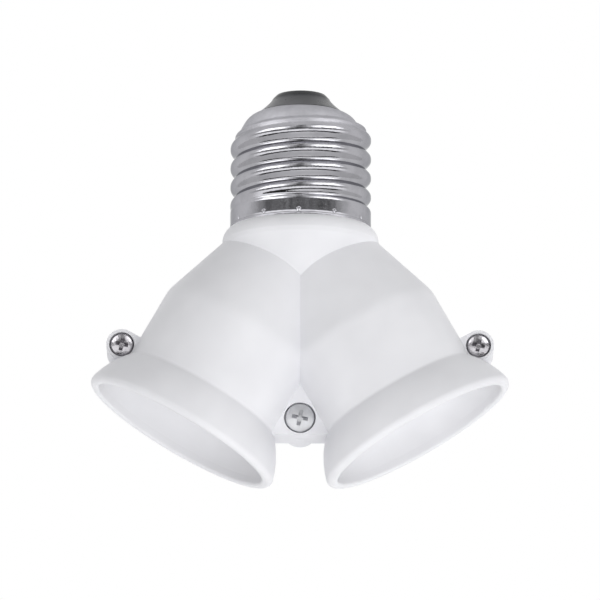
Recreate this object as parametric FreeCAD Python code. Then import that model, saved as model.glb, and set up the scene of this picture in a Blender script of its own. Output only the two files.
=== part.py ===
import FreeCAD, Part

import math
import os

from FreeCAD import Matrix, Placement, Rotation, Vector

# Two-way lamp socket adapter: one screw cap on top, two screw sockets below, splayed in the XZ plane.
# Millimetres. The origin is on the cap's axis where the metal skirt meets the plastic collar, +Z to the
# cap's tip, the front towards -Y. A socket is drawn about its own axis, with s counted outwards from the
# point where both socket axes cross the cap's axis, and is then turned into place.

# Screw cap
threadPitch = 3.629
capRadius = 13.05
capWall = 0.35
threadDepth = 0.9
skirtHeight = 3.1
threadRootHeight = 8.05
threadRunOut = 1.6
threadTurns = 2.5
threadMerge = 1.2
threadFade = 0.45
shoulderHeight = 16.7
shoulderInset = 0.75
lowPullRadius = 10.6
lowPullRise = 4.3
crownPullRadius = 8.9
crownPullDrop = 0.5
crownRadius = 6.4
crownRise = 6.45
crownHoleRadius = 4.6
dimpleCount = 12
dimpleTurn = -1.5
dimpleHeight = 0.85
dimpleRadius = 0.6
dimpleInset = 0.38

# Insulator and contact on the cap
insulatorFootRadius = 6.35
insulatorWaistRise = 1.7
insulatorWaistRadius = 5.3
insulatorTopRise = 0.8
insulatorTopTaper = 0.55
insulatorBevel = 0.15
insulatorFlangeRadius = 6.0
insulatorFlangeDepth = 1.4
insulatorSideGap = 0.05
insulatorFlangeGap = 0.03
tipRadius = 3.0
tipRise = 0.4
tipStemRadius = 1.2
tipStemDrop = 0.4
tipEdge = 0.16

# Moulded housing round the cap
spigotHeight = 8.0
spigotGap = 0.06
spigotWall = 1.54
collarLedge = 0.15
collarFlare = 1.3
collarBulgeHeight = -2.5
collarUndercut = 0.2
collarUndercutHeight = 0.75
neckTaper = 4.55
neckDrop = 7.65
neckWall = 2.2
neckShoulder = 1.5

# Sockets' own insides
socketAngle = 29.7
socketMeetHeight = 0.05
bulkheadStart = 22.8
bulkheadThickness = 2.0
bulkheadBoreRadius = 9.8
shellRadius = 13.3
shellWall = 0.35
shellLength = 11.2
shellLip = 2.0
shellCorner = 0.5
shellFlangeWidth = 2.1
shellRise = 1.2
tabWidth = 3.0
tabReach = 5.4
tabSideGap = 0.3
notchGap = 0.5
cavityGap = 0.1
ledgeStep = 0.12
ledgeThickness = 0.8

# Moulded housing round the sockets
barrelWall = 1.6
coneStart = 9.05
coneTaper = 4.35
barrelStart = 22.4
creaseLength = 1.1
coneWall = 2.0
flareStart = 36.2
flareFillet = 1.0
flareTurn = 40.0
flareLength = 7.4
flareRise = 3.85
flareBulge = 0.4
flareWall = 1.4
lipDrop = 1.3
lipRoll = 0.7
lipThickness = 1.15
lipHeight = 1.7
lipRound = 0.55
splitGap = 0.02

# Lugs and screws
lugFront = 3.8
webBack = 3.8
webTop = -25.0
webBottom = -39.6
webHalfWidth = 9.0
earBack = 4.6
earAlong = 36.0
earReach = 2.0
earRadius = 2.85
earSink = 1.2
bossRadius = 3.3
bossBack = 6.8
centreScrewRise = 3.2
centreHeadRadius = 2.75
sideHeadRadius = 2.15
headRecessGap = 0.17
centreHeadHeight = 1.7
sideHeadHeight = 1.4
headCrown = 0.3
headRound = 0.4
screwShankRadius = 1.15
screwPoint = 1.0
screwTipGap = 0.6
centreFloor = 1.0
sideFloor = 0.8
crossWidth = 0.75
crossSpan = 0.62
crossFloor = 0.35
crossDepth = 1.0
crossTurn = 12.0

# Socket bases
baseFlangeThickness = 1.2
baseFlangeGap = 0.25
baseWallGap = 0.4
baseDepth = 6.4
baseFloorThickness = 2.0
baseFloorTaper = 0.9
baseCupWall = 1.9
baseCupDepth = 2.6
baseMouthInset = 0.3
baseBossWall = 1.2
baseBossLength = 1.8

# Sprung centre contacts
contactRise = 3.6
contactHeadRadius = 3.4
contactHeadHeight = 1.0
contactStemRadius = 1.2
contactStemGap = 0.1
contactStopRadius = 2.0
contactStopThickness = 0.6
contactStopGap = 0.1
springWireRadius = 0.25
springTurns = 5
springSideGap = 0.3
springGap = 0.02
guideWall = 0.5
guideBoreRadius = 3.1
guideFlangeWidth = 1.1
guideFlangeThickness = 0.4
guideFloorThickness = 0.8
guideRimWidth = 0.8
stripThickness = 0.4
stripRingWidth = 1.8
stripWidth = 5.0

# Leads inside
leadRadius = 0.8
leadGap = 0.2
leadSpread = 3.2

# Facets of the rolled threads
turnFacets = 36
rowsPerPitch = 7
crownRows = 13
facetOverlap = 0.25
facetSink = 0.02

# Sizes that follow from those above
crownHeight = shoulderHeight + crownRise
insulatorWaistHeight = crownHeight + insulatorWaistRise
insulatorTopHeight = insulatorWaistHeight + insulatorTopRise
insulatorUnder = crownHeight - capWall - insulatorFlangeGap
tipStemFoot = insulatorUnder - insulatorFlangeDepth - tipStemDrop
rootInside = capRadius - threadDepth - capWall
spigotThreadRadius = rootInside - spigotGap
spigotBoreRadius = spigotThreadRadius - spigotWall
collarTopRadius = capRadius + collarLedge
collarRadius = collarTopRadius + collarFlare
collarLowRadius = collarRadius - collarUndercut
collarLowHeight = collarBulgeHeight - collarUndercutHeight
neckLowRadius = collarLowRadius - neckTaper
neckLowHeight = collarLowHeight - neckDrop
bulkheadEnd = bulkheadStart + bulkheadThickness
baseFlangeEnd = bulkheadEnd + baseFlangeThickness
shellEnd = baseFlangeEnd + shellLength
shellOutside = shellRadius + shellWall
shellFlangeRadius = shellRadius - shellFlangeWidth
tabEnd = baseFlangeEnd - tabReach
cavityRadius = shellOutside + cavityGap
ledgeRadius = shellRadius + ledgeStep
ledgeEnd = shellEnd + ledgeThickness
barrelRadius = cavityRadius + barrelWall
coneStartRadius = barrelRadius - coneTaper
slope = (barrelRadius - coneStartRadius) / (barrelStart - coneStart)
flareEnd = flareStart + flareLength
flareEndRadius = barrelRadius + flareRise
mouthDepth = flareEnd + lipDrop
lipRadius = flareEndRadius - lipRoll
lipInnerRadius = lipRadius - lipThickness
earOut = barrelRadius + earReach
centreScrewZ = webBottom + centreScrewRise
baseFloor = bulkheadEnd - baseDepth
baseBack = baseFloor - baseFloorThickness
baseWallRadius = bulkheadBoreRadius - baseWallGap
bossEnd = baseBack - baseBossLength
guideRadius = guideBoreRadius + guideWall
guideBack = bossEnd - 2 * stripThickness
guideFloor = guideBack + guideFloorThickness
contactTip = baseFloor + contactRise
contactUnder = contactTip - contactHeadHeight
springRadius = guideBoreRadius - springSideGap - springWireRadius

yAxis = Vector(0, 1, 0)
zAxis = Vector(0, 0, 1)
noTurn = Vector(0, 0, 0)


def line(a, b):
    return Part.LineSegment(Vector(a[0], 0, a[1]), Vector(b[0], 0, b[1])).toShape()


def arc(a, mid, b):
    points = [Vector(p[0], 0, p[1]) for p in (a, mid, b)]
    return Part.Arc(*points).toShape()


def revolved(edges):
    """Turn a closed profile of (radius, height) edges about the Z axis."""
    face = Part.Face(Part.Wire(edges))
    return face.revolve(noTurn, zAxis, 360)


def turned(points):
    """Turn a polygon of (radius, height) corners about the Z axis."""
    closed = list(points) + [points[0]]
    return revolved([line(a, b) for a, b in zip(closed, closed[1:])])


def cylinder(radius, start, end):
    return Part.makeCylinder(radius, end - start, Vector(0, 0, start))


def block(xs, ys, zs):
    size = (xs[1] - xs[0], ys[1] - ys[0], zs[1] - zs[0])
    return Part.makeBox(*size, Vector(xs[0], ys[0], zs[0]))


def inSocket(shape, side):
    """Turn a shape drawn about the Z axis onto the right (+1) or left (-1) socket's axis."""
    turn = Rotation(yAxis, side * (180 - socketAngle))
    placed = shape.copy()
    placed.Placement = Placement(Vector(0, 0, socketMeetHeight), turn).multiply(shape.Placement)
    return placed


def socketPoint(s, inward, y, side):
    """The point at s along a socket's axis, offset towards the other socket and along Y."""
    angle = math.radians(socketAngle)
    along = Vector(side * math.sin(angle), 0, -math.cos(angle))
    across = Vector(-side * math.cos(angle), 0, -math.sin(angle))
    return Vector(0, y, socketMeetHeight) + along * s + across * inward


def smooth(t):
    t = min(max(t, 0.0), 1.0)
    return t * t * (3 - 2 * t)


def groove(angle, height):
    """Depth share of the right-handed rolled thread: 1 on the root helix, 0 on the broad crest."""
    phase = (height - threadRootHeight) / threadPitch - angle / (2 * math.pi)
    return ((1 + math.cos(2 * math.pi * phase)) / 2) ** 1.5


def merged(angle, height):
    """Share of the shoulder's smooth form in the cap's surface: it takes over above the last turn of
    the root helix, which starts at the left, and over the rear that turn's own crest fades as well."""
    turn = (angle / (2 * math.pi) + 0.5) % 1
    over = height - threadRootHeight - threadPitch * (threadTurns + turn)
    crest = smooth((turn - 0.5) / threadFade) * smooth((over + threadPitch) / threadMerge)
    return max(smooth(over / threadMerge), crest)


def shoulderPoint(t):
    """Radius and height on the cap's shoulder, a cubic curve from its foot (0) to the crown (1)."""
    pulls = (
        (capRadius - shoulderInset, shoulderHeight),
        (lowPullRadius, shoulderHeight + lowPullRise),
        (crownPullRadius, crownHeight - crownPullDrop),
        (crownRadius, crownHeight),
    )
    weights = ((1 - t) ** 3, 3 * t * (1 - t) ** 2, 3 * t * t * (1 - t), t ** 3)
    return tuple(sum(w * p[i] for w, p in zip(weights, pulls)) for i in (0, 1))


def facetedTube(outerRows, innerRows, radiusAt):
    """A closed solid between two stacks of faceted rings. A row is (base radius, height, inset, drop),
    and radiusAt gives the surface's radius at an angle and row, before the row's inset and drop."""
    points = []
    facets = []

    def ring(row):
        first = len(points)
        for i in range(turnFacets):
            angle = 2 * math.pi * i / turnFacets
            r = radiusAt(angle, row) - row[2]
            points.append(Vector(r * math.cos(angle), r * math.sin(angle), row[1] - row[3]))
        return first

    def band(low, high):
        for i in range(turnFacets):
            j = (i + 1) % turnFacets
            facets.append((low + i, low + j, high + j))
            facets.append((low + i, high + j, high + i))

    outer = [ring(row) for row in outerRows]
    inner = [ring(row) for row in innerRows]
    loop = outer + inner[::-1]
    for low, high in zip(loop, loop[1:] + loop[:1]):
        band(low, high)
    shape = Part.Shape()
    shape.makeShapeFromMesh((points, facets), 0.0005)
    return Part.Solid(Part.Shell(shape.Faces))


def threadRows(start, end):
    count = max(2, round((end - start) / threadPitch * rowsPerPitch))
    return [start + (end - start) * i / count for i in range(count + 1)]


def dimples(radius):
    """The ring of balls, centred just outside the skirt, that shape the crimp dimples."""
    centre = capRadius + dimpleInset
    balls = []
    for i in range(dimpleCount):
        angle = math.radians(dimpleTurn + 360 * i / dimpleCount)
        place = Vector(centre * math.cos(angle), centre * math.sin(angle), dimpleHeight)
        balls.append(Part.makeSphere(radius, place))
    return Part.Compound(balls)


def capShell():
    skirt = cylinder(capRadius, 0, skirtHeight).cut(cylinder(capRadius - capWall, 0, skirtHeight))
    middle = cylinder(capRadius - capWall / 2, 0, skirtHeight)
    skirt = skirt.fuse(middle.common(dimples(dimpleRadius + capWall))).cut(dimples(dimpleRadius))

    def radiusAt(angle, row):
        rise = smooth((row[1] - skirtHeight) / threadRunOut)
        thread = capRadius - threadDepth * rise * groove(angle, row[1])
        share = merged(angle, row[1])
        return thread * (1 - share) + row[0] * share

    foot = capRadius - shoulderInset
    lean = (foot - lowPullRadius) / lowPullRise
    heights = threadRows(skirtHeight - facetOverlap, shoulderHeight)
    straight = [(min(capRadius, foot + lean * (shoulderHeight - z)), z) for z in heights]
    shoulder = [shoulderPoint((i + 1) / crownRows) for i in range(crownRows)]
    outer = [(*row, facetSink, 0) for row in straight] + [(*row, 0, 0) for row in shoulder]
    inner = [(*row, capWall - facetSink, 0) for row in straight]
    inner += [(*row, capWall * 1.2, capWall * 0.8) for row in shoulder]
    thread = facetedTube(outer, inner, radiusAt)
    crown = turned((
        (crownHoleRadius, crownHeight - capWall),
        (crownRadius + capWall, crownHeight - capWall),
        (crownRadius, crownHeight - facetSink),
        (crownHoleRadius, crownHeight - facetSink),
    ))
    return skirt.fuse([thread, crown])


def capInsulator():
    neck = crownHoleRadius - insulatorSideGap
    top = insulatorWaistRadius - insulatorTopTaper
    foot = insulatorUnder - insulatorFlangeDepth
    return turned((
        (tipStemRadius, insulatorTopHeight),
        (top, insulatorTopHeight),
        (top + insulatorBevel, insulatorTopHeight - insulatorBevel),
        (insulatorWaistRadius, insulatorWaistHeight),
        (insulatorFootRadius, crownHeight),
        (neck, crownHeight),
        (neck, insulatorUnder),
        (insulatorFlangeRadius, insulatorUnder),
        (insulatorFlangeRadius, foot),
        (tipStemRadius, foot),
    ))


def capContact():
    """The cap's tip contact: a shallow dome with a stem down through the insulator."""
    top = insulatorTopHeight + tipRise
    edge = insulatorTopHeight + tipEdge
    dome = arc((0, top), (tipRadius * 0.55, top - tipRise * 0.2), (tipRadius, edge))
    return revolved([
        dome,
        line((tipRadius, edge), (tipRadius, insulatorTopHeight)),
        line((tipRadius, insulatorTopHeight), (tipStemRadius, insulatorTopHeight)),
        line((tipStemRadius, insulatorTopHeight), (tipStemRadius, tipStemFoot)),
        line((tipStemRadius, tipStemFoot), (0, tipStemFoot)),
        line((0, tipStemFoot), (0, top)),
    ])


def flareStartPoint():
    """Radius and s where the fillet at the flare's start runs into the flare."""
    turn = math.radians(flareTurn)
    return barrelRadius + flareFillet * (1 - math.cos(turn)), flareStart + flareFillet * math.sin(turn)


def bellOutside():
    """One socket's moulded outside: cone, soft crease, barrel, flare and rolled lip."""
    back = coneStart - 3.0
    halfTurn = math.radians(flareTurn / 2)
    lowFlare = flareStartPoint()
    fillet = (barrelRadius + flareFillet * (1 - math.cos(halfTurn)),
              flareStart + flareFillet * math.sin(halfTurn))
    flareMid = ((lowFlare[0] + flareEndRadius) / 2 + flareBulge,
                (lowFlare[1] + flareEnd) / 2 - flareBulge / 2)
    lipMid = (lipRadius + lipRoll * 0.72, flareEnd + lipDrop * 0.72)
    backRadius = coneStartRadius - slope * (coneStart - back)
    creaseIn = (barrelRadius - slope * creaseLength, barrelStart - creaseLength)
    creaseMid = (barrelRadius - slope * creaseLength / 4, barrelStart)
    creaseOut = (barrelRadius, barrelStart + creaseLength)
    return revolved([
        line((0, back), (backRadius, back)),
        line((backRadius, back), creaseIn),
        arc(creaseIn, creaseMid, creaseOut),
        line(creaseOut, (barrelRadius, flareStart)),
        arc((barrelRadius, flareStart), fillet, lowFlare),
        arc(lowFlare, flareMid, (flareEndRadius, flareEnd)),
        arc((flareEndRadius, flareEnd), lipMid, (lipRadius, mouthDepth)),
        line((lipRadius, mouthDepth), (0, mouthDepth)),
        line((0, mouthDepth), (0, back)),
    ])


def bellInside():
    """One socket's hollow: wiring chamber, bulkhead bore, shell seat, ledge and flared mouth."""
    back = coneStart - 4.0
    chamberBack = coneStartRadius - slope * (coneStart - back) - coneWall
    chamberFront = min(coneStartRadius + slope * (bulkheadStart - coneStart), barrelRadius) - coneWall
    lowFlare = flareStartPoint()
    flareSlope = (flareEndRadius - lowFlare[0]) / (flareEnd - lowFlare[1])
    flareIn = (lowFlare[0] + flareSlope * (ledgeEnd - lowFlare[1]) - flareWall, ledgeEnd)
    flareOut = (lipInnerRadius, mouthDepth - lipHeight)
    flareMid = ((flareIn[0] + flareOut[0]) / 2 + flareBulge, (flareIn[1] + flareOut[1]) / 2 - flareBulge)
    rimStart = mouthDepth - lipRound
    rimMid = (lipInnerRadius + lipRound * 0.29, mouthDepth - lipRound * 0.29)
    rimEnd = lipInnerRadius + lipRound
    clear = mouthDepth + 1
    return revolved([
        line((0, back), (chamberBack, back)),
        line((chamberBack, back), (chamberFront, bulkheadStart)),
        line((chamberFront, bulkheadStart), (bulkheadBoreRadius, bulkheadStart)),
        line((bulkheadBoreRadius, bulkheadStart), (bulkheadBoreRadius, bulkheadEnd)),
        line((bulkheadBoreRadius, bulkheadEnd), (cavityRadius, bulkheadEnd)),
        line((cavityRadius, bulkheadEnd), (cavityRadius, shellEnd)),
        line((cavityRadius, shellEnd), (ledgeRadius, shellEnd)),
        line((ledgeRadius, shellEnd), (ledgeRadius, ledgeEnd)),
        line((ledgeRadius, ledgeEnd), flareIn),
        arc(flareIn, flareMid, flareOut),
        line(flareOut, (lipInnerRadius, rimStart)),
        arc((lipInnerRadius, rimStart), rimMid, (rimEnd, mouthDepth)),
        line((rimEnd, mouthDepth), (rimEnd, clear)),
        line((rimEnd, clear), (0, clear)),
        line((0, clear), (0, back)),
    ])


def earCentre(side):
    """Where a side lug's screw axis crosses the split plane."""
    return socketPoint(earAlong, -earOut, 0, side)


def earLug(side):
    """A side lug: a round boss along Y with a bridge of the same width to the barrel."""
    centre = earCentre(side)
    boss = Part.makeCylinder(earRadius, lugFront + earBack, centre - yAxis * lugFront, yAxis)
    near = barrelRadius - earSink
    bridge = block((-earOut, -near) if side > 0 else (near, earOut),
                   (-lugFront, earBack), (earAlong - earRadius, earAlong + earRadius))
    return boss.fuse(inSocket(bridge, side))


def neckTrunk():
    """The cap's spigot, the bulged collar and the neck's cone down between the sockets."""
    spigotRadius = capRadius - capWall - spigotGap
    collarMid = (collarTopRadius + collarFlare * 0.72, collarBulgeHeight * 0.42)
    neckEnd = (neckLowRadius * 0.55, neckLowHeight * 1.7)
    return revolved([
        line((0, spigotHeight), (spigotThreadRadius, spigotHeight)),
        line((spigotThreadRadius, spigotHeight), (spigotThreadRadius, skirtHeight)),
        line((spigotThreadRadius, skirtHeight), (spigotRadius, skirtHeight)),
        line((spigotRadius, skirtHeight), (spigotRadius, 0)),
        line((spigotRadius, 0), (collarTopRadius, 0)),
        arc((collarTopRadius, 0), collarMid, (collarRadius, collarBulgeHeight)),
        line((collarRadius, collarBulgeHeight), (collarLowRadius, collarLowHeight)),
        line((collarLowRadius, collarLowHeight), (neckLowRadius, neckLowHeight)),
        line((neckLowRadius, neckLowHeight), neckEnd),
        line(neckEnd, (0, neckEnd[1])),
        line((0, neckEnd[1]), (0, spigotHeight)),
    ])


def housing():
    """Both half shells as one body, before the split at Y = 0."""
    corners = [(-webHalfWidth, webBottom), (webHalfWidth, webBottom), (0, webTop), (-webHalfWidth, webBottom)]
    outline = Part.makePolygon([Vector(x, -lugFront, z) for x, z in corners])
    web = Part.Face(outline).extrude(Vector(0, lugFront + webBack, 0))
    boss = Part.makeCylinder(bossRadius, bossBack, Vector(0, 0, centreScrewZ), yAxis)
    body = neckTrunk().fuse([inSocket(bellOutside(), side) for side in (-1, 1)])
    body = body.fuse([web, boss] + [earLug(side) for side in (-1, 1)])
    hollow = turned((
        (0, spigotHeight + 1),
        (spigotBoreRadius, spigotHeight + 1),
        (spigotBoreRadius, collarLowHeight + neckShoulder),
        (collarLowRadius - neckWall, collarLowHeight),
        (neckLowRadius - neckWall, neckLowHeight),
        (0, neckLowHeight),
    ))
    body = body.cut(hollow)
    reach = 60.0
    notchSide = tabWidth / 2 + notchGap
    for side in (-1, 1):
        near = block((0, reach) if side > 0 else (-reach, 0), (-reach, reach), (-reach, 5))
        body = body.cut(inSocket(bellInside(), side).common(near))
        notch = block((-notchSide, notchSide),
                      (bulkheadBoreRadius - notchGap, shellFlangeRadius + shellWall + notchGap),
                      (bulkheadStart - notchGap, bulkheadEnd + notchGap))
        body = body.cut(inSocket(notch, side))
    seats = dimples(dimpleRadius + capWall + spigotGap)
    body = body.cut(seats.common(cylinder(capRadius, splitGap, skirtHeight)))
    for x, z, head, height, end in screwPlaces():
        recess = Part.makeCylinder(head + headRecessGap, height, Vector(x, -lugFront, z), yAxis)
        pilot = Part.makeCylinder(screwShankRadius, end + lugFront, Vector(x, -lugFront, z), yAxis)
        body = body.cut(recess.fuse(pilot))
    return body


def screwPlaces():
    """Each screw's X and Z, head radius and height, and how far back its hole goes."""
    places = [(0, centreScrewZ, centreHeadRadius, centreHeadHeight, bossBack - centreFloor)]
    for side in (-1, 1):
        centre = earCentre(side)
        places.append((centre.x, centre.z, sideHeadRadius, sideHeadHeight, earBack - sideFloor))
    return places


def housingHalf(body, front):
    reach = 80.0
    ys = (-reach, -splitGap / 2) if front else (splitGap / 2, reach)
    return body.common(block((-reach, reach), ys, (-reach, reach)))


def screw(x, z, head, height, end):
    """A pan-head screw along Y with a tapered cross recess, its head flush with the lug's face."""
    tip = end + lugFront - screwTipGap
    inner = head - headRound * 0.6
    solid = revolved([
        arc((0, 0), (head * 0.55, headCrown * 0.25), (inner, headCrown)),
        arc((inner, headCrown), (head - headRound * 0.15, headCrown + headRound * 0.4),
            (head, headCrown + headRound)),
        line((head, headCrown + headRound), (head, height)),
        line((head, height), (screwShankRadius, height)),
        line((screwShankRadius, height), (screwShankRadius, tip - screwPoint)),
        line((screwShankRadius, tip - screwPoint), (0, tip)),
        line((0, tip), (0, 0)),
    ])
    half = head * crossSpan
    wide = crossWidth / 2
    for turn in (crossTurn, crossTurn + 90):
        top = [Vector(u * half, v * wide, -0.1) for u, v in ((-1, -1), (1, -1), (1, 1), (-1, 1))]
        low = [Vector(v.x * crossFloor, v.y * 2 * crossFloor, crossDepth) for v in top]
        arm = Part.makeLoft([Part.makePolygon(top + top[:1]), Part.makePolygon(low + low[:1])], True, True)
        arm.rotate(noTurn, zAxis, turn)
        solid = solid.cut(arm)
    solid.rotate(noTurn, Vector(1, 0, 0), -90)
    solid.translate(Vector(x, -lugFront, z))
    return solid


def socketShell():
    """The socket's rolled metal shell: inward flange with a solder tab, thread and plain lip."""
    threadStart = baseFlangeEnd + shellRise
    threadEnd = shellEnd - shellLip
    flangeFront = baseFlangeEnd + shellWall
    corner = shellCorner * 0.29
    foot = revolved([
        line((shellFlangeRadius, baseFlangeEnd), (shellOutside - shellCorner, baseFlangeEnd)),
        arc((shellOutside - shellCorner, baseFlangeEnd),
            (shellOutside - corner, baseFlangeEnd + corner), (shellOutside, baseFlangeEnd + shellCorner)),
        line((shellOutside, baseFlangeEnd + shellCorner), (shellOutside, threadStart)),
        line((shellOutside, threadStart), (shellRadius, threadStart)),
        line((shellRadius, threadStart), (shellRadius, flangeFront)),
        line((shellRadius, flangeFront), (shellFlangeRadius, flangeFront)),
        line((shellFlangeRadius, flangeFront), (shellFlangeRadius, baseFlangeEnd)),
    ])
    lip = cylinder(shellOutside, threadEnd, shellEnd).cut(cylinder(shellRadius, threadEnd, shellEnd))
    middle = (threadStart + threadEnd) / 2 + threadPitch / 4

    def radiusAt(angle, row):
        rise = smooth((row[1] - threadStart) / threadRunOut)
        fall = smooth((threadEnd - row[1]) / threadRunOut)
        return row[0] - threadDepth * rise * fall * groove(angle, row[1] - middle)

    rows = threadRows(threadStart - facetOverlap, threadEnd + facetOverlap)
    outer = [(shellOutside, z, facetSink, 0) for z in rows]
    inner = [(shellRadius, z, -facetSink, 0) for z in rows]
    thread = facetedTube(outer, inner, radiusAt)
    tab = block((-tabWidth / 2, tabWidth / 2), (shellFlangeRadius, shellFlangeRadius + shellWall),
                (tabEnd, flangeFront))
    return foot.fuse([thread, lip, tab])


def socketBase():
    """The moulded insulating cup that carries the shell, with a boss for the contact guide."""
    rim = shellOutside - baseFlangeGap
    cup = baseWallRadius - baseCupWall
    bossRim = guideRadius + baseBossWall
    base = turned((
        (guideRadius, baseFloor),
        (cup, baseFloor),
        (cup, baseFlangeEnd - baseCupDepth),
        (shellFlangeRadius - baseMouthInset, baseFlangeEnd),
        (rim, baseFlangeEnd),
        (rim, bulkheadEnd),
        (baseWallRadius, bulkheadEnd),
        (baseWallRadius, baseFloor),
        (baseWallRadius - baseFloorTaper, baseBack),
        (bossRim, baseBack),
        (bossRim, bossEnd),
        (guideRadius, bossEnd),
    ))
    slotSide = tabWidth / 2 + tabSideGap
    slot = block((-slotSide, slotSide),
                 (shellFlangeRadius - tabSideGap, shellFlangeRadius + shellWall + tabSideGap),
                 (bulkheadEnd - 1, baseFlangeEnd + 1))
    return base.cut(slot)


def contactGuide():
    """The brass eyelet that holds the contact's spring and clenches the strip behind the base."""
    top = baseFloor + guideFlangeThickness
    hole = contactStemRadius + contactStemGap
    rim = guideRadius + guideRimWidth
    return turned((
        (guideBoreRadius, top),
        (guideRadius + guideFlangeWidth, top),
        (guideRadius + guideFlangeWidth, baseFloor),
        (guideRadius, baseFloor),
        (guideRadius, bossEnd - stripThickness),
        (rim, bossEnd - stripThickness),
        (rim, guideBack),
        (hole, guideBack),
        (hole, guideFloor),
        (guideBoreRadius, guideFloor),
    ))


def contactPin():
    """The sprung centre contact: domed head, stem and the stop behind the guide."""
    stopTop = guideBack - contactStopGap
    stopBack = stopTop - contactStopThickness
    edge = contactUnder + contactHeadHeight * 0.5
    dome = arc((0, contactTip), (contactHeadRadius * 0.6, contactTip - contactHeadHeight * 0.14),
               (contactHeadRadius, edge))
    return revolved([
        dome,
        line((contactHeadRadius, edge), (contactHeadRadius, contactUnder)),
        line((contactHeadRadius, contactUnder), (contactStemRadius, contactUnder)),
        line((contactStemRadius, contactUnder), (contactStemRadius, stopTop)),
        line((contactStemRadius, stopTop), (contactStopRadius, stopTop)),
        line((contactStopRadius, stopTop), (contactStopRadius, stopBack)),
        line((contactStopRadius, stopBack), (0, stopBack)),
        line((0, stopBack), (0, contactTip)),
    ])


def roundTube(edges, radius, start, direction):
    """A solid of round section along a smooth path of lines and arcs."""
    ring = Part.Wire(Part.makeCircle(radius, start, direction))
    return Part.Wire(edges).makePipeShell([ring], True, False)


def contactSpring():
    """The coil spring, as half turns that lean alternately, so that each runs smoothly into the next."""
    inset = springWireRadius + springGap
    low = guideFloor + inset
    rise = (contactUnder - inset - low) / (2 * springTurns)
    edges = []
    for k in range(2 * springTurns):
        side = 1 if k % 2 == 0 else -1
        start = Vector(side * springRadius, 0, low + k * rise)
        end = Vector(-side * springRadius, 0, low + (k + 1) * rise)
        top = Vector(0, side * (end - start).Length / 2, low + (k + 0.5) * rise)
        edges.append(Part.Arc(start, top, end).toShape())
    return roundTube(edges, springWireRadius, Vector(springRadius, 0, low), yAxis)


def contactStrip():
    """The bent strip that joins both contact guides, with its fold on the cap's axis."""
    legs = []
    span = 40.0
    for side in (-1, 1):
        low = bossEnd - stripThickness
        ring = cylinder(guideRadius + stripRingWidth, low, bossEnd)
        reach = bossEnd * math.tan(math.radians(socketAngle)) + 1
        bar = block((0, reach) if side > 0 else (-reach, 0), (-stripWidth / 2, stripWidth / 2), (low, bossEnd))
        leg = inSocket(ring.fuse(bar).cut(cylinder(guideRadius, low - 1, bossEnd + 1)), side)
        near = block((0, span) if side > 0 else (-span, 0), (-span, span), (-span, span))
        legs.append(leg.common(near))
    return legs[0].fuse(legs[1]).removeSplitter()


def lead(points):
    """A round insulated lead along straight runs joined by tangent arcs as large as the runs allow."""
    edges = []
    last = points[0]
    for before, corner, after in zip(points, points[1:], points[2:]):
        into = (corner - before).normalize()
        out = (after - corner).normalize()
        half = into.getAngle(out) / 2
        trim = 0.45 * min((corner - before).Length, (after - corner).Length)
        radius = trim / math.tan(half)
        start = corner - into * trim
        end = corner + out * trim
        inward = (out - into).normalize()
        centre = corner + inward * (radius / math.cos(half))
        edges.append(Part.LineSegment(last, start).toShape())
        edges.append(Part.Arc(start, centre - inward * radius, end).toShape())
        last = end
    edges.append(Part.LineSegment(last, points[-1]).toShape())
    return roundTube(edges, leadRadius, points[0], points[1] - points[0])


def shellLead(side):
    """The lead from a shell's solder tab, up through the neck, to the inside of the cap's thread."""
    atTab = shellFlangeRadius - leadRadius - leadGap / 4
    inNeck = spigotBoreRadius - leadRadius - leadGap
    atWall = rootInside - leadRadius - leadGap
    return lead([
        socketPoint(tabEnd + 1.6, 0, atTab, side),
        socketPoint(baseBack - 0.8, 0, atTab, side),
        Vector(side * leadSpread * 1.4, inNeck - 1.5, neckLowHeight + 1.6),
        Vector(side * leadSpread, inNeck - 1.2, -2.0),
        Vector(side * leadSpread, inNeck - 1.0, spigotHeight - 1.6),
        Vector(side * leadSpread * 1.12, atWall * 0.93, spigotHeight + 4.2),
    ])


def contactLead():
    """The lead from the strip's fold, up the middle, to the foot of the cap's tip contact."""
    fold = socketMeetHeight - (bossEnd - stripThickness) / math.cos(math.radians(socketAngle))
    return lead([
        Vector(0, 0, fold + 0.3),
        Vector(0, -0.4, -9.0),
        Vector(0.3, -2.6, 1.5),
        Vector(0.2, -1.6, 11.5),
        Vector(0, 0, tipStemFoot - 0.05),
    ])


def save(shape, name):
    if not shape.isValid():
        print("INVALID", name)
    solids = shape.Solids
    if len(solids) != 1:
        print("solids in", name, len(solids), [round(s.Volume, 3) for s in solids])
    solid = solids[0] if len(solids) == 1 else shape
    print(name, round(solid.Volume, 2), len(solid.Faces))
    solid.exportStep("parts/%s.step" % name)


os.makedirs("parts", exist_ok=True)
save(capShell(), "cap_shell")
save(capInsulator(), "cap_insulator")
save(capContact(), "cap_contact")
body = housing()
save(housingHalf(body, True), "front_housing")
save(housingHalf(body, False), "rear_housing")
for name, place in zip(("centre_screw", "left_screw", "right_screw"), screwPlaces()):
    save(screw(*place), name)
save(contactStrip(), "contact_strip")
save(contactLead(), "contact_lead")
for name, side in (("left", -1), ("right", 1)):
    save(inSocket(socketShell(), side), name + "_socket_shell")
    save(inSocket(socketBase(), side), name + "_socket_base")
    save(inSocket(contactGuide(), side), name + "_contact_guide")
    save(inSocket(contactPin(), side), name + "_contact_pin")
    save(inSocket(contactSpring(), side), name + "_contact_spring")
    save(shellLead(side), name + "_shell_lead")
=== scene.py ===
import math

import bpy
import numpy as np
from mathutils import Matrix, Vector


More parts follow.
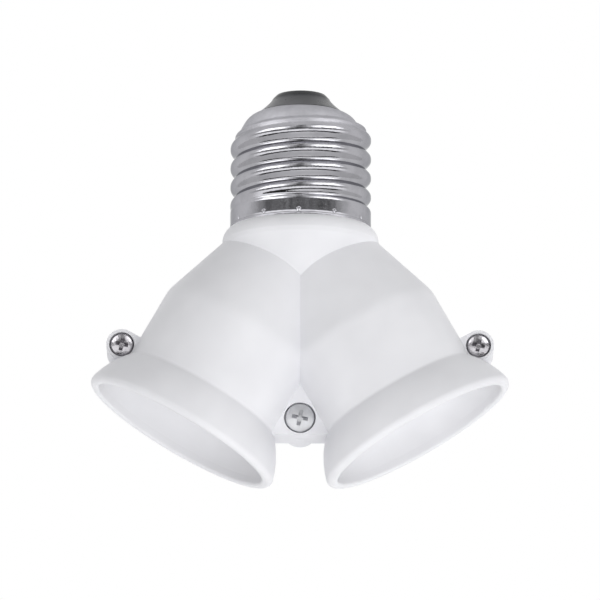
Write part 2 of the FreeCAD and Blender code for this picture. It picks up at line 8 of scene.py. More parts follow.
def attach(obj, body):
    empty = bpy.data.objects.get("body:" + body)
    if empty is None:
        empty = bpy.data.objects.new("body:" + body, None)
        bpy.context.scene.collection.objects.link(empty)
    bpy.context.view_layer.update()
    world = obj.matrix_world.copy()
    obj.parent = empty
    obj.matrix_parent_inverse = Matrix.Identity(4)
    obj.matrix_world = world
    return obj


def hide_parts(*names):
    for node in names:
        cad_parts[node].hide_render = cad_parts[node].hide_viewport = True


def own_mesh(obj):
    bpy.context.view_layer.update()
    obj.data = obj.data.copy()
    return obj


mm = 0.001  # pieces are worked out in millimetres

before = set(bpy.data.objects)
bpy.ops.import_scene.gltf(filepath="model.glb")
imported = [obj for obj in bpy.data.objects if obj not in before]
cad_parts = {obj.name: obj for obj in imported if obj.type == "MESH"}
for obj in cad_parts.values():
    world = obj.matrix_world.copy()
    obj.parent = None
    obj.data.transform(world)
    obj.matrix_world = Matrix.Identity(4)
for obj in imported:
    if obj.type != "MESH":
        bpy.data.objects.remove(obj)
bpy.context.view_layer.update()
print("frame loaded:", len(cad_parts), "nodes")


# Shared helpers for objects and meshes

def addObject(name, data):
    thing = bpy.data.objects.new(name, data)
    bpy.context.scene.collection.objects.link(thing)
    return thing


def gridPiece(name, points, wrapRows):
    # points[i, j] is row i and step j round; every step closes on the first. The rows close as well if
    # wrapRows, and otherwise the first and last ring are capped.
    rows, steps = points.shape[:2]
    i = np.arange(rows if wrapRows else rows - 1)[:, None]
    j = np.arange(steps)[None, :]
    nextRow = (i + 1) % rows
    nextStep = (j + 1) % steps
    corners = np.stack(np.broadcast_arrays(
        i * steps + j, i * steps + nextStep, nextRow * steps + nextStep, nextRow * steps + j), axis=-1)
    corners = corners.reshape(-1)
    ring = np.arange(steps)
    ends = [] if wrapRows else [ring[::-1], (rows - 1) * steps + ring]
    starts = np.concatenate((np.arange(corners.size // 4) * 4, corners.size + steps * np.arange(len(ends))))
    loops = np.concatenate((corners, *ends))
    mesh = bpy.data.meshes.new(name)
    mesh.vertices.add(rows * steps)
    mesh.vertices.foreach_set("co", points.reshape(-1).astype(np.float32))
    mesh.loops.add(loops.size)
    mesh.loops.foreach_set("vertex_index", loops.astype(np.int32))
    mesh.polygons.add(len(starts))
    mesh.polygons.foreach_set("loop_start", starts.astype(np.int32))
    mesh.update(calc_edges=True)
    mesh.validate()
    mesh.shade_smooth()
    return addObject(name, mesh)


def turnedPoints(radius, height, angles):
    # A surface about Z: (r cos q, r sin q, z) for every row of radius and height and every angle q.
    x, y, z = np.broadcast_arrays(radius * np.cos(angles), radius * np.sin(angles), height)
    return np.stack((x, y, z), axis=-1)


def smoothStep(t):
    # Rises from 0 to 1 with flat ends: 3t^2 - 2t^3.
    t = np.clip(t, 0.0, 1.0)
    return t * t * (3 - 2 * t)


def finish(piece, material, body, *nodes, sharp=35):
    # sharp is the angle between faces, in degrees, from which their edge stays crisp.
    piece.data.materials.append(material)
    piece.data.set_sharp_from_angle(angle=math.radians(sharp))
    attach(piece, body)
    if nodes:
        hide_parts(*nodes)


# Shared shader groups: textures by their scale, detail and roughness

mouldGrain = {"fine": (2600, 3, 0.6), "patches": (90, 2, 0.5), "smear": (420, 4, 0.65)}
drawnRings = {
    "rings": (1, 3, 0.6), "stretch": (60, 60, 5200),  # the rings follow closely along the axis
    "speck": (2400, 2, 0.5), "speckShare": 4.5,
    "stain": (300, 5, 0.6), "stainSpan": (0.45, 0.75),  # the part of its noise that shows
}


def makeGroup(name, inputs, outputs):
    group = bpy.data.node_groups.new(name, "ShaderNodeTree")
    for label, value in inputs:
        socket = group.interface.new_socket(label, in_out="INPUT", socket_type="NodeSocketFloat")
        socket.default_value = value
    for label in outputs:
        group.interface.new_socket(label, in_out="OUTPUT", socket_type="NodeSocketFloat")
    nodes = group.nodes
    return group, nodes.new("NodeGroupInput"), nodes.new("NodeGroupOutput")


def mathNode(tree, operation, first, second):
    # Either side is a socket or a plain number.
    node = tree.nodes.new("ShaderNodeMath")
    node.operation = operation
    for index, value in enumerate((first, second)):
        if hasattr(value, "links"):
            tree.links.new(value, node.inputs[index])
        else:
            node.inputs[index].default_value = value
    return node.outputs[0]


def noiseNode(tree, vector, texture):
    node = tree.nodes.new("ShaderNodeTexNoise")
    for label, value in zip(("Scale", "Detail", "Roughness"), texture):
        node.inputs[label].default_value = value
    tree.links.new(vector, node.inputs["Vector"])
    return node.outputs["Fac"]


def objectPlace(tree):
    return tree.nodes.new("ShaderNodeTexCoord").outputs["Object"]


def makeGrainGroup():
    # Moulded or cast skin: fine grain for height, slow patches for tone and smears for gloss.
    group, into, out = makeGroup(
        "mouldGrain", (("Grain", 1.0), ("Patches", 1.0)), ("Height", "Tone", "Gloss"))
    place = objectPlace(group)
    fine = noiseNode(group, place, mouldGrain["fine"])
    patches = noiseNode(group, place, mouldGrain["patches"])
    smear = noiseNode(group, place, mouldGrain["smear"])
    group.links.new(mathNode(group, "MULTIPLY", fine, into.outputs["Grain"]), out.inputs["Height"])
    group.links.new(mathNode(group, "MULTIPLY", patches, into.outputs["Patches"]), out.inputs["Tone"])
    group.links.new(smear, out.inputs["Gloss"])
    return group


def makeDrawnGroup():
    # Drawn or turned sheet: noise stretched round the axis, so that it reads as fine rings, and a fine
    # speck over it. Turn brings the piece's axis upright.
    group, into, out = makeGroup(
        "drawnRings", (("Turn", 0.0), ("Lines", 1.0)), ("Height", "Gloss", "Stain"))
    place = objectPlace(group)
    turn = group.nodes.new("ShaderNodeVectorRotate")
    turn.rotation_type = "Y_AXIS"
    group.links.new(place, turn.inputs["Vector"])
    group.links.new(into.outputs["Turn"], turn.inputs["Angle"])
    stretch = group.nodes.new("ShaderNodeVectorMath")
    stretch.operation = "MULTIPLY"
    stretch.inputs[1].default_value = drawnRings["stretch"]
    group.links.new(turn.outputs[0], stretch.inputs[0])
    rings = noiseNode(group, stretch.outputs[0], drawnRings["rings"])
    stain = noiseNode(group, place, drawnRings["stain"])
    speck = noiseNode(group, place, drawnRings["speck"])
    both = mathNode(group, "ADD", rings, mathNode(group, "MULTIPLY", speck, drawnRings["speckShare"]))
    group.links.new(mathNode(group, "MULTIPLY", both, into.outputs["Lines"]), out.inputs["Height"])
    group.links.new(rings, out.inputs["Gloss"])
    group.links.new(stain, out.inputs["Stain"])
    return group


grainGroup = makeGrainGroup()
drawnGroup = makeDrawnGroup()


# Materials

def startMaterial(name, group, values):
    material = bpy.data.materials.new(name)
    material.use_nodes = True
    tree = material.node_tree
    effect = tree.nodes.new("ShaderNodeGroup")
    effect.node_tree = group
    for label, value in values.items():
        effect.inputs[label].default_value = value
    return material, tree, tree.nodes["Principled BSDF"], effect


def rangeNode(tree, value, low, high, fromLow=0.3, fromHigh=0.7):
    # Noise lies mostly between 0.3 and 0.7, so that span is spread from low to high.
    node = tree.nodes.new("ShaderNodeMapRange")
    tree.links.new(value, node.inputs["Value"])
    for label, limit in (("From Min", fromLow), ("From Max", fromHigh), ("To Min", low), ("To Max", high)):
        node.inputs[label].default_value = limit
    return node.outputs["Result"]


def mixColour(tree, factor, first, second):
    node = tree.nodes.new("ShaderNodeMix")
    node.data_type = "RGBA"
    tree.links.new(factor, node.inputs["Factor"])
    node.inputs["A"].default_value = (*first, 1)
    node.inputs["B"].default_value = (*second, 1)
    return node.outputs["Result"]


def bumpNode(tree, height, distance):
    node = tree.nodes.new("ShaderNodeBump")
    node.inputs["Distance"].default_value = distance
    node.inputs["Strength"].default_value = 1.0
    tree.links.new(height, node.inputs["Height"])
    return node.outputs["Normal"]


def heightSocket(tree):
    place = tree.nodes.new("ShaderNodeSeparateXYZ")
    tree.links.new(objectPlace(tree), place.inputs[0])
    return place.outputs["Z"]


def plasticMaterial(name, look):
    # Moulded plastic: a fine grain, slow tone patches and a satin gloss that varies a little.
    material, tree, shader, effect = startMaterial(name, grainGroup, {"Grain": 1.0, "Patches": 1.0})
    tone = rangeNode(tree, effect.outputs["Tone"], 0.0, 1.0)
    if look.get("topFrom"):
        # Above a height only the darker tone is left.
        above = rangeNode(tree, heightSocket(tree), 1.0, 0.0, look["topFrom"] * mm, look["topTo"] * mm)
        tone = mathNode(tree, "MULTIPLY", tone, above)
    tree.links.new(mixColour(tree, tone, look["dark"], look["light"]), shader.inputs["Base Color"])
    gloss = rangeNode(tree, effect.outputs["Gloss"], look["roughLow"], look["roughHigh"])
    tree.links.new(gloss, shader.inputs["Roughness"])
    tree.links.new(bumpNode(tree, effect.outputs["Height"], look["grain"] * mm), shader.inputs["Normal"])
    shader.inputs["IOR"].default_value = 1.5
    shader.inputs["Specular IOR Level"].default_value = look.get("shine", 0.5)
    if look.get("depth"):
        # Light that goes in comes out again within the reach.
        shader.inputs["Subsurface Weight"].default_value = look["depth"]
        shader.inputs["Subsurface Radius"].default_value = (1.0, 1.0, 1.0)
        shader.inputs["Subsurface Scale"].default_value = look["reach"] * mm
    return material


def metalMaterial(name, look):
    # Drawn sheet or turned bar: rings in the gloss and height, with faint stains.
    material, tree, shader, effect = startMaterial(
        name, drawnGroup, {"Turn": math.radians(look.get("turn", 0)), "Lines": 1.0})
    stain = rangeNode(tree, effect.outputs["Stain"], 0.0, 1.0, *drawnRings["stainSpan"])
    tree.links.new(mixColour(tree, stain, look["light"], look["dark"]), shader.inputs["Base Color"])
    gloss = rangeNode(tree, effect.outputs["Gloss"], look["roughLow"], look["roughHigh"])
    if look.get("matt"):
        # Above a height the sheet stays as drawn, unpolished.
        matt = rangeNode(
            tree, heightSocket(tree), 0.0, look["matt"], look["mattFrom"] * mm, look["mattTo"] * mm)
        gloss = mathNode(tree, "ADD", gloss, matt)
    tree.links.new(gloss, shader.inputs["Roughness"])
    tree.links.new(bumpNode(tree, effect.outputs["Height"], look["rings"] * mm), shader.inputs["Normal"])
    shader.inputs["Metallic"].default_value = 1.0
    shader.inputs["Specular Tint"].default_value = (*look.get("edge", (1.0, 1.0, 1.0)), 1)
    return material


whitePlastic = plasticMaterial("whitePlastic", {
    "dark": (0.765, 0.766, 0.792), "light": (0.825, 0.826, 0.852),
    "roughLow": 0.5, "roughHigh": 0.6, "grain": 0.006, "depth": 0.12, "reach": 0.8, "shine": 0.08})
creamMoulding = plasticMaterial("creamMoulding", {
    "dark": (0.58, 0.55, 0.48), "light": (0.68, 0.65, 0.58),
    "roughLow": 0.5, "roughHigh": 0.65, "grain": 0.01})
crownMoulding = plasticMaterial("crownMoulding", {
    "dark": (0.02, 0.021, 0.024), "light": (0.11, 0.112, 0.12), "topFrom": 24.2, "topTo": 25.0,
    "roughLow": 0.25, "roughHigh": 0.4, "grain": 0.008, "shine": 0.3})
leadSleeve = plasticMaterial("leadSleeve", {
    "dark": (0.6, 0.58, 0.54), "light": (0.7, 0.68, 0.64),
    "roughLow": 0.45, "roughHigh": 0.6, "grain": 0.008})
capMetal = metalMaterial("capMetal", {
    "light": (0.415, 0.412, 0.438), "dark": (0.34, 0.338, 0.36),
    "roughLow": 0.05, "roughHigh": 0.12, "rings": 0.003, "matt": 0.42, "mattFrom": 16.9, "mattTo": 17.8,
    "edge": (0.6, 0.605, 0.615)})
brass = metalMaterial("brass", {
    "light": (0.78, 0.6, 0.3), "dark": (0.6, 0.42, 0.2),
    "roughLow": 0.2, "roughHigh": 0.35, "rings": 0.006})
screwSteel = metalMaterial("screwSteel", {
    "light": (0.66, 0.665, 0.685), "dark": (0.5, 0.505, 0.525),
    "roughLow": 0.36, "roughHigh": 0.48, "rings": 0.002})
darkSteel = metalMaterial("darkSteel", {
    "light": (0.42, 0.41, 0.43), "dark": (0.3, 0.29, 0.31),
    "roughLow": 0.14, "roughHigh": 0.26, "rings": 0.008})
springSteel = metalMaterial("springSteel", {
    "light": (0.6, 0.6, 0.62), "dark": (0.45, 0.45, 0.46),
    "roughLow": 0.2, "roughHigh": 0.3, "rings": 0.003})

# Both sockets: how far each leans out, in degrees, and the height at which their axes meet.
sockets = {"angle": 29.7, "meet": 0.05, "sides": {"left": -1, "right": 1}}
shellMetals = {
    side: metalMaterial(side + "ShellMetal", {
        "light": (0.5, 0.495, 0.5), "dark": (0.4, 0.395, 0.4),
        "roughLow": 0.16, "roughHigh": 0.28, "rings": 0.005, "turn": sign * sockets["angle"]})
    for side, sign in sockets["sides"].items()
}
print("materials made")


# What the frame's own pieces wear

nodeMaterials = {
    "cap_insulator": crownMoulding,
    "cap_contact": brass,
    "cap_shell": capMetal,
    "front_housing": whitePlastic,
    "rear_housing": whitePlastic,
    "centre_screw": screwSteel,
    "left_screw": darkSteel,
    "right_screw": darkSteel,
    "contact_strip": brass,
    "contact_lead": leadSleeve,
}
for side in sockets["sides"]:
    nodeMaterials[side + "_socket_shell"] = shellMetals[side]
    nodeMaterials[side + "_socket_base"] = creamMoulding
    nodeMaterials[side + "_contact_guide"] = brass
    nodeMaterials[side + "_contact_pin"] = brass
    nodeMaterials[side + "_contact_spring"] = springSteel
    nodeMaterials[side + "_shell_lead"] = leadSleeve
for name, material in nodeMaterials.items():
    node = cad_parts[name]
    node.data.materials.clear()
    node.data.materials.append(material)


# Rolled screw thread, shared by the cap and the sockets

thread = {
    "pitch": 3.629, "depth": 0.9, "power": 1.5, "root": 8.05,  # root is the height of a root at angle 0
    "runOut": 1.6, "turns": 2.5, "merge": 1.2, "fade": 0.45,
}


def groove(angle, height):
    # Share of the thread's depth: a raised cosine to a power, so roots are narrow and crests broad.
    # Its phase falls by one for each turn and rises by one for each pitch, which makes it right-handed.
    phase = (height - thread["root"]) / thread["pitch"] - angle / (2 * math.pi)
    return ((1 + np.cos(2 * math.pi * phase)) / 2) ** thread["power"]


# Threaded cap shell

cap = {
    "radius": 13.05, "wall": 0.35, "skirt": 3.1, "holeRadius": 4.6, "holeLip": 5.6, "holeRise": 0.02,
    "shoulder": ((12.34, 16.7), (10.09, 20.74), (10.5, 21.5), (6.4, 22.51)),  # radius and height of its pulls
    "edgeRows": (0.0, 0.06, 0.16, 0.3, 0.42, 0.52, 0.62), "dimpleRows": (0.72, 1.75, 0.1),
    "plainFrom": 1.8, "plainRows": 6, "straightRows": 84, "shoulderRows": 48,
    "insideStride": 3, "thinFrom": 19,  # from thinFrom up the wall is measured downwards too
    "bead": {"height": 0.26, "width": 0.16, "rise": 0.1},
    "nick": {"height": 0.56, "width": 0.07, "rise": -0.06},
    "dimples": {
        "count": 12, "turn": -1.5, "height": 0.88, "radius": 0.37, "depth": 0.2, "power": 0.8,
        "near": 2.4, "acrossSteps": 13, "betweenSteps": 11,  # close steps reach near degrees to each side
    },
}


def capAngles():
    # Steps round the cap, close together across each dimple and wider between them.
    dimples = cap["dimples"]
    pitch, near = 360 / dimples["count"], dimples["near"]
    across = np.linspace(-near, near, dimples["acrossSteps"])
    between = np.linspace(near, pitch - near, dimples["betweenSteps"])[1:-1]
    turns = np.arange(dimples["count"]) * pitch + dimples["turn"]
    return np.radians((turns[:, None] + np.concatenate((across, between))[None, :]).reshape(-1))


def capProfile():
    # Base radius and height up the outside: skirt, straight part, then a cubic curve over the shoulder,
    # (1 - t)^3 a + 3t (1 - t)^2 b + 3t^2 (1 - t) c + t^3 d. Below its foot the shoulder's form runs on as a
    # straight cone, as far as the cap's full radius.
    a, b, c, d = np.array(cap["shoulder"])
    plain = np.linspace(cap["plainFrom"], cap["skirt"], cap["plainRows"])
    skirt = np.concatenate((cap["edgeRows"], np.arange(*cap["dimpleRows"]), plain))
    straight = np.linspace(cap["skirt"], a[1], cap["straightRows"])[1:]
    heights = np.concatenate((skirt, straight))
    lean = (a[0] - b[0]) / (b[1] - a[1])
    base = np.minimum(cap["radius"], a[0] + lean * (a[1] - heights))
    t = np.linspace(0, 1, cap["shoulderRows"])[1:, None]
    over = (1 - t) ** 3 * a + 3 * t * (1 - t) ** 2 * b + 3 * t * t * (1 - t) * c + t ** 3 * d
    top = d[1] + cap["holeRise"]
    flat = np.array(((cap["holeLip"], top), (cap["holeRadius"], top)))
    return np.concatenate((np.stack((base, heights), axis=1), over, flat))


def capRadii(profile, angles):
    # The cap's radius less the thread's groove, which fades in above the skirt. Above the last turn of
    # the root helix the shoulder's own radius takes over, and over the rear that turn's crest fades too.
    base, height = profile[:, 0][:, None], profile[:, 1][:, None]
    rise = smoothStep((height - cap["skirt"]) / thread["runOut"])
    rolled = cap["radius"] - thread["depth"] * rise * groove(angles[None, :], height)
    turn = (angles[None, :] / (2 * math.pi) + 0.5) % 1  # from the left round the front, then the rear
    over = height - thread["root"] - thread["pitch"] * (thread["turns"] + turn)
    crest = smoothStep((turn - 0.5) / thread["fade"]) * smoothStep((over + thread["pitch"]) / thread["merge"])
    share = np.maximum(smoothStep(over / thread["merge"]), crest)
    return rolled * (1 - share) + base * share


def dimplePits(angles, height):
    # Each dimple is a round pit, and at d radii from its centre its depth is (1 - d^2)^power of the whole.
    dimples = cap["dimples"]
    pitch = 2 * math.pi / dimples["count"]
    offset = (angles - math.radians(dimples["turn"]) + pitch / 2) % pitch - pitch / 2
    away = np.hypot(offset[None, :] * cap["radius"], height - dimples["height"]) / dimples["radius"]
    return dimples["depth"] * np.clip(1 - away ** 2, 0, 1) ** dimples["power"]


def ripple(height, form):
    # A ridge or groove round the skirt: rise exp(-((z - height) / width)^2).
    return form["rise"] * np.exp(-((height - form["height"]) / form["width"]) ** 2)


def makeCapShell():
    # Outside rows up from the foot, then every few rows back down on the inside, one wall further in.
    angles = capAngles()
    profile = capProfile()
    height = profile[:, 1][:, None]
    radii = capRadii(profile, angles) - dimplePits(angles, height)
    radii = radii + ripple(height, cap["bead"]) + ripple(height, cap["nick"])
    down = height[::-cap["insideStride"]]
    inside = radii[::-cap["insideStride"]] - cap["wall"]
    r = np.concatenate((radii, inside))
    z = np.concatenate((height, down - np.where(down > cap["thinFrom"], cap["wall"], 0)))
    piece = gridPiece("capShell", turnedPoints(r, z, angles) * mm, True)
    finish(piece, capMetal, "adapter", "cap_shell")


makeCapShell()


# Insulator on the crown, with a flared foot and a flat top; its colour is darker towards the top

insulator = {
    "foot": (8.0, 22.12), "waist": (5.33, 24.85), "flare": 1.28,
    "top": (4.62, 25.6), "bevel": 0.15,
    "dish": ((3.1, 0.0), (1.3, -0.1)),  # radius, and height from the top
    "under": ((1.3, 22.0), (4.5, 22.0), (7.4, 22.0)),
    "flareRows": 24, "steps": 96, "sharp": 28,
}


def makeInsulator():
    # A turned skin. From foot to waist its radius is waist + (foot - waist)(1 - t)^flare, then a short cone
    # and a bevel lead to the flat top, which runs in under the tip contact, and the underside closes it.
    (footRadius, footHeight), (waistRadius, waistHeight) = insulator["foot"], insulator["waist"]
    topRadius, topHeight = insulator["top"]
    t = np.linspace(0, 1, insulator["flareRows"])
    flare = np.stack((waistRadius + (footRadius - waistRadius) * (1 - t) ** insulator["flare"],
                      footHeight + (waistHeight - footHeight) * t), axis=1)
    bevel = (topRadius + insulator["bevel"], topHeight - insulator["bevel"])
    dish = np.array(insulator["dish"]) + (0, topHeight)
    profile = np.concatenate((flare, (bevel, insulator["top"]), dish, insulator["under"]))
    angles = np.linspace(0, 2 * math.pi, insulator["steps"], endpoint=False)
    points = turnedPoints(profile[:, :1], profile[:, 1:], angles) * mm
    piece = gridPiece("capInsulator", points, True)
    finish(piece, crownMoulding, "adapter", "cap_insulator", sharp=insulator["sharp"])


makeInsulator()
print("cap made")


# Pieces of a socket are drawn about its own axis: across, depth and along

def inSocket(points, side):
    # They are turned about Y by side (180 - angle), x' = x cos + s sin and z' = s cos - x sin, then lifted
    # to where the axes meet.
    turn = math.radians(sockets["sides"][side] * (180 - sockets["angle"]))
    x, s = points[..., 0], points[..., 2]
    return np.stack((x * math.cos(turn) + s * math.sin(turn), points[..., 1],
                     s * math.cos(turn) - x * math.sin(turn) + sockets["meet"]), axis=-1) * mm


# Socket shells, with an inward flange, a rolled thread, a plain lip and a solder tab

shell = {
    "outside": 13.65, "wall": 0.35, "flange": 11.2, "back": 26.0, "end": 37.2,
    "corner": 0.5, "cornerRows": 7, "innerCorner": (0.08, 0.02), "rounding": 0.08, "ease": 0.3,
    "threadStart": 27.2, "threadEnd": 35.2, "steps": 160,
    "outerGap": 0.25, "innerGap": 0.1, "rowInset": 0.1,  # between rows, and from a corner to the first
    "tabHalf": 1.5, "tabEnd": 20.6, "tabSink": 0.01, "tabOverlap": 0.2,
}


def threadedRows(radius, low, high, gap):
    # Rows of radius, distance along the axis and share of the thread, which is whole here.
    along = np.linspace(low, high, int(round((high - low) / gap)) + 1)
    return np.stack((np.full(len(along), radius), along, np.ones(len(along))), axis=1)


def shellSection():
    # Out along the flange's back, round its corner, up the outside, over the lip and back down the inside.
    # Each row is a radius, a distance along the axis and a share of the thread.
    out, back, corner, edge = shell["outside"], shell["back"], shell["corner"], shell["rounding"]
    inner, front, inset = out - shell["wall"], back + shell["wall"], shell["rowInset"]
    turn = np.radians(np.linspace(-90, 0, shell["cornerRows"]))
    bendRadius = out - corner + corner * np.cos(turn)
    bend = np.stack((bendRadius, back + corner + corner * np.sin(turn), 0 * turn), axis=1)
    end, ease = shell["end"], edge * shell["ease"]
    lip = ((out - ease, end - ease, 0), (out - edge, end, 0),
           (inner + edge, end, 0), (inner + ease, end - ease, 0))
    nearer, higher = shell["innerCorner"]
    return np.concatenate((
        ((shell["flange"], back, 0),), bend,
        threadedRows(out, back + corner + inset, end - edge, shell["outerGap"]), lip,
        threadedRows(inner, front + inset, end - edge, shell["innerGap"])[::-1],
        ((inner - nearer, front + higher, 0), (shell["flange"], front, 0))))


def makeSocketShell(side):
    # The surface is r = base - share x depth x rise x fall x groove. The groove's middle lies a quarter
    # pitch past the middle of the threaded length.
    base, along, share = (column[:, None] for column in shellSection().T)
    angles = np.linspace(0, 2 * math.pi, shell["steps"], endpoint=False)[None, :]
    middle = (shell["threadStart"] + shell["threadEnd"]) / 2 + thread["pitch"] / 4
    rise = smoothStep((along - shell["threadStart"]) / thread["runOut"])
    fall = smoothStep((shell["threadEnd"] - along) / thread["runOut"])
    r = base - share * thread["depth"] * rise * fall * groove(angles, along - middle + thread["root"])
    piece = gridPiece(side + "SocketShell", inSocket(turnedPoints(r, along, angles), side), True)
    finish(piece, shellMetals[side], "adapter", side + "_socket_shell")


def makeSolderTab(side):
    # A flat bar along the axis: one ring of four corners at each end.
    half, low, high = shell["tabHalf"], shell["flange"] - shell["tabSink"], shell["flange"] + shell["wall"]
    ring = np.array(((-half, low), (half, low), (half, high), (-half, high)))
    ends = (shell["tabEnd"], shell["back"] + shell["tabOverlap"])
    points = np.stack([np.column_stack((ring, np.full(4, s))) for s in ends])
    piece = gridPiece(side + "SolderTab", inSocket(points, side), False)
    finish(piece, shellMetals[side], "adapter")


# Contact springs, drawn at one length, though the real ones shorten as the contact is pressed

spring = {
    "radius": 2.55, "wire": 0.25, "low": 14.87, "high": 20.73, "turns": 5,
    "stepsPerTurn": 40, "wireSteps": 14,
    "seat": 14.6, "keep": 0.68,  # keep is the share of its length left at full press
}


def makeSpring(side):
    # A helix (R cos q, R sin q, low + rise t) with a round wire: each section is w (cos p er - sin p ez).
    t = np.linspace(0, 1, spring["stepsPerTurn"] * spring["turns"] + 1)[:, None]
    p = np.linspace(0, 2 * math.pi, spring["wireSteps"], endpoint=False)[None, :]
    r = spring["radius"] + spring["wire"] * np.cos(p)
    along = spring["low"] + (spring["high"] - spring["low"]) * t - spring["wire"] * np.sin(p)
    points = turnedPoints(r, along, 2 * math.pi * spring["turns"] * t)
    piece = gridPiece(side + "ContactSpring", inSocket(points, side), False)
    finish(piece, springSteel, "adapter", side + "_contact_spring")
    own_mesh(piece)


for side in sockets["sides"]:
    makeSocketShell(side)
    makeSolderTab(side)
    makeSpring(side)
print("sockets made")


# Camera at the photo's angle, looking up at the adapter from in front

shot = {
    "distance": 1.96, "elevation": -13.41, "azimuth": 0.0, "roll": 0.2,
    "aim": (-0.00006, 0.00299, -0.01254), "scale": 5397.0, "frame": 600,  # scale in pixels per metre
    "sensor": 36.0, "clip": (0.01, 20),
}


def outward(azimuth, elevation):
    # The way out from the object at an azimuth from the front and an elevation, in degrees.
    a, e = math.radians(azimuth), math.radians(elevation)
    return Vector((math.sin(a) * math.cos(e), -math.cos(a) * math.cos(e), math.sin(e)))


def makeCamera():
    data = bpy.data.cameras.new("photoCamera")
    camera = addObject("photoCamera", data)
    back = outward(shot["azimuth"], shot["elevation"])
    camera.location = Vector(shot["aim"]) + back * shot["distance"]
    look = (-back).to_track_quat("-Z", "Y")
    roll = Matrix.Rotation(math.radians(shot["roll"]), 4, "Z")
    camera.matrix_world = Matrix.Translation(camera.location) @ look.to_matrix().to_4x4() @ roll
    data.sensor_width = shot["sensor"]
    data.lens = shot["scale"] * shot["distance"] * shot["sensor"] / shot["frame"]
    data.clip_start, data.clip_end = shot["clip"]
    bpy.context.scene.camera = camera


makeCamera()


# Floor, lamp and surroundings. The cards show in reflections only: two bright boxes with haze above, a dark
# gap between them, and bands below, each by its span in azimuth and elevation.

studio = {
    "level": 0.87, "lean": (0.112, 0.45, -0.06), "reach": 0.9,  # lamp and cards are a reach away, in metres
    "floorHeight": -0.6, "floorSize": 2.4,
    "floorColour": (0.92, 0.92, 0.92), "floorPatch": 1.02, "floorRough": 0.8,
    "fill": {"name": "lowFront", "azimuth": 14, "elevation": -34, "size": (0.9, 0.44), "radiance": 3.86},
    "cards": {
        "leftBox": {"azimuth": (-88, -19), "elevation": (21, 53), "light": 3.4, "mottle": 0.0},
        "leftHaze": {"azimuth": (-88, -19), "elevation": (53, 80), "light": 0.8, "mottle": 0.1},
        "rightBox": {"azimuth": (12, 82), "elevation": (21, 53), "light": 3.4, "mottle": 0.0},
        "rightHaze": {"azimuth": (12, 82), "elevation": (53, 80), "light": 0.8, "mottle": 0.1},
        "middleGap": {"azimuth": (-24, 17), "elevation": (26, 76), "light": 0.28, "mottle": 0.4},
        "middleBlack": {"azimuth": (-24, 17), "elevation": (15, 26), "light": 0.01, "mottle": 0.0},
        "darkBand": {"azimuth": (-100, 94), "elevation": (9, 21), "light": 0.23, "mottle": 0.5, "fade": 50.0},
        "lowGlow": {"azimuth": (-86, 86), "elevation": (-20, 9), "light": 1.7, "mottle": 0.1},
        "lowDark": {"azimuth": (-86, 86), "elevation": (-40, -20), "light": 0.04, "mottle": 0.0},
    },
    "cardFade": 20.0, "cardSteps": 49, "cardRows": 13,
    "mottleNoise": (9, 4, 0.7), "mottleSpan": (0.4, 0.65), "mottleLift": 1.5,
}


def whiteToCamera(tree, surface, white):
    # White wherever a camera, glossy or transmission ray meets it, and the lit surface elsewhere.
    path = tree.nodes.new("ShaderNodeLightPath")
    seen = mathNode(tree, "MAXIMUM", path.outputs["Is Camera Ray"], path.outputs["Is Glossy Ray"])
    seen = mathNode(tree, "MAXIMUM", seen, path.outputs["Is Transmission Ray"])
    mix = tree.nodes.new("ShaderNodeMixShader")
    tree.links.new(seen, mix.inputs["Fac"])
    tree.links.new(surface, mix.inputs[1])
    tree.links.new(white, mix.inputs[2])
    return mix.outputs[0]


def makeWorld():
    # A white tent: its light changes evenly across the sky, as level plus lean times the direction.
    world = bpy.data.worlds.new("studioWorld")
    bpy.context.scene.world = world
    world.use_nodes = True
    tree = world.node_tree
    tree.nodes.clear()
    out = tree.nodes.new("ShaderNodeOutputWorld")
    direction = tree.nodes.new("ShaderNodeTexCoord").outputs["Generated"]
    dot = tree.nodes.new("ShaderNodeVectorMath")
    dot.operation = "DOT_PRODUCT"
    tree.links.new(direction, dot.inputs[0])
    dot.inputs[1].default_value = studio["lean"]
    soft = tree.nodes.new("ShaderNodeBackground")
    tree.links.new(mathNode(tree, "ADD", dot.outputs["Value"], studio["level"]), soft.inputs["Strength"])
    white = tree.nodes.new("ShaderNodeBackground")
    for background in (soft, white):
        background.inputs["Color"].default_value = (1, 1, 1, 1)
    white.inputs["Strength"].default_value = 1.0
    tree.links.new(whiteToCamera(tree, soft.outputs[0], white.outputs[0]), out.inputs["Surface"])


def makeFill():
    # A large soft lamp for the matt surfaces; the metal sees the cards instead.
    fill = studio["fill"]
    wide, high = fill["size"]
    data = bpy.data.lights.new(fill["name"], "AREA")
    data.shape = "RECTANGLE"
    data.size, data.size_y = wide, high
    data.energy = fill["radiance"] * wide * high * math.pi
    lamp = addObject(fill["name"], data)
    back = outward(fill["azimuth"], fill["elevation"])
    lamp.location = back * studio["reach"]
    lamp.rotation_mode = "QUATERNION"
    lamp.rotation_quaternion = (-back).to_track_quat("-Z", "Y")
    lamp.visible_glossy = False


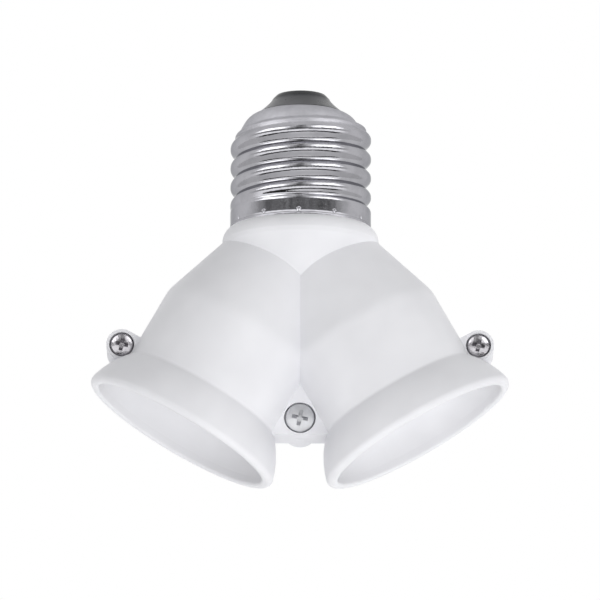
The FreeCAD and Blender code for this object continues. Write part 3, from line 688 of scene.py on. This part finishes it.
def cardMaterial(name, card):
    # Its own mottled light gives way to the surroundings' white where the fade attribute falls to 0.
    material = bpy.data.materials.new(name)
    material.use_nodes = True
    tree = material.node_tree
    tree.nodes.clear()
    patches = noiseNode(tree, objectPlace(tree), studio["mottleNoise"])
    brightest = 1 + card["mottle"] * studio["mottleLift"]
    change = rangeNode(tree, patches, 1 - card["mottle"], brightest, *studio["mottleSpan"])
    inside = tree.nodes.new("ShaderNodeAttribute")
    inside.attribute_name = "fade"
    mix = tree.nodes.new("ShaderNodeMix")
    mix.inputs["A"].default_value = 1.0
    tree.links.new(inside.outputs["Fac"], mix.inputs["Factor"])
    tree.links.new(mathNode(tree, "MULTIPLY", change, card["light"]), mix.inputs["B"])
    glow = tree.nodes.new("ShaderNodeEmission")
    tree.links.new(mix.outputs["Result"], glow.inputs["Strength"])
    out = tree.nodes.new("ShaderNodeOutputMaterial")
    tree.links.new(glow.outputs[0], out.inputs["Surface"])
    return material


def makeCard(name, card):
    # A patch of a sphere round the object, even in azimuth a and elevation e:
    # reach (sin a cos e, -cos a cos e, sin e). It fades towards both ends.
    across = np.linspace(*card["azimuth"], studio["cardSteps"])
    a = np.radians(across)[None, :]
    e = np.radians(np.linspace(*card["elevation"], studio["cardRows"]))[:, None]
    points = np.stack((np.sin(a) * np.cos(e), -np.cos(a) * np.cos(e), np.sin(e) + 0 * a), axis=-1)
    rows, steps = points.shape[:2]
    corner = (np.arange(rows - 1)[:, None] * steps + np.arange(steps - 1)[None, :]).reshape(-1)
    faces = np.stack((corner, corner + steps, corner + steps + 1, corner + 1), axis=-1)
    mesh = bpy.data.meshes.new(name)
    mesh.from_pydata((points.reshape(-1, 3) * studio["reach"]).tolist(), [], faces.tolist())
    fromEnd = np.minimum(across - across[0], across[-1] - across)
    ends = smoothStep(fromEnd / card.get("fade", studio["cardFade"]))
    fade = mesh.attributes.new("fade", "FLOAT", "POINT")
    fade.data.foreach_set("value", np.tile(ends, rows).astype(np.float32))
    mesh.materials.append(cardMaterial(name, card))
    thing = addObject(name, mesh)
    thing.visible_camera = False
    thing.visible_diffuse = False
    thing.visible_shadow = False


def makeFloor():
    half, h = studio["floorSize"] / 2, studio["floorHeight"]
    corners = [(-half, -half, h), (half, -half, h), (half, half, h), (-half, half, h)]
    mesh = bpy.data.meshes.new("floor")
    mesh.from_pydata(corners, [], [(0, 1, 2, 3)])
    material, tree, shader, effect = startMaterial("paleFloor", grainGroup, {"Grain": 1.0, "Patches": 1.0})
    tone = rangeNode(tree, effect.outputs["Tone"], 0.0, 1.0)
    pale = studio["floorColour"]
    patch = tuple(c * studio["floorPatch"] for c in pale)
    tree.links.new(mixColour(tree, tone, pale, patch), shader.inputs["Base Color"])
    shader.inputs["Roughness"].default_value = studio["floorRough"]
    mesh.materials.append(material)
    floor = addObject("floor", mesh)


bpy.context.scene.view_settings.view_transform = "Standard"
makeWorld()
makeFill()
for name, card in studio["cards"].items():
    makeCard(name, card)
makeFloor()
print("studio made")
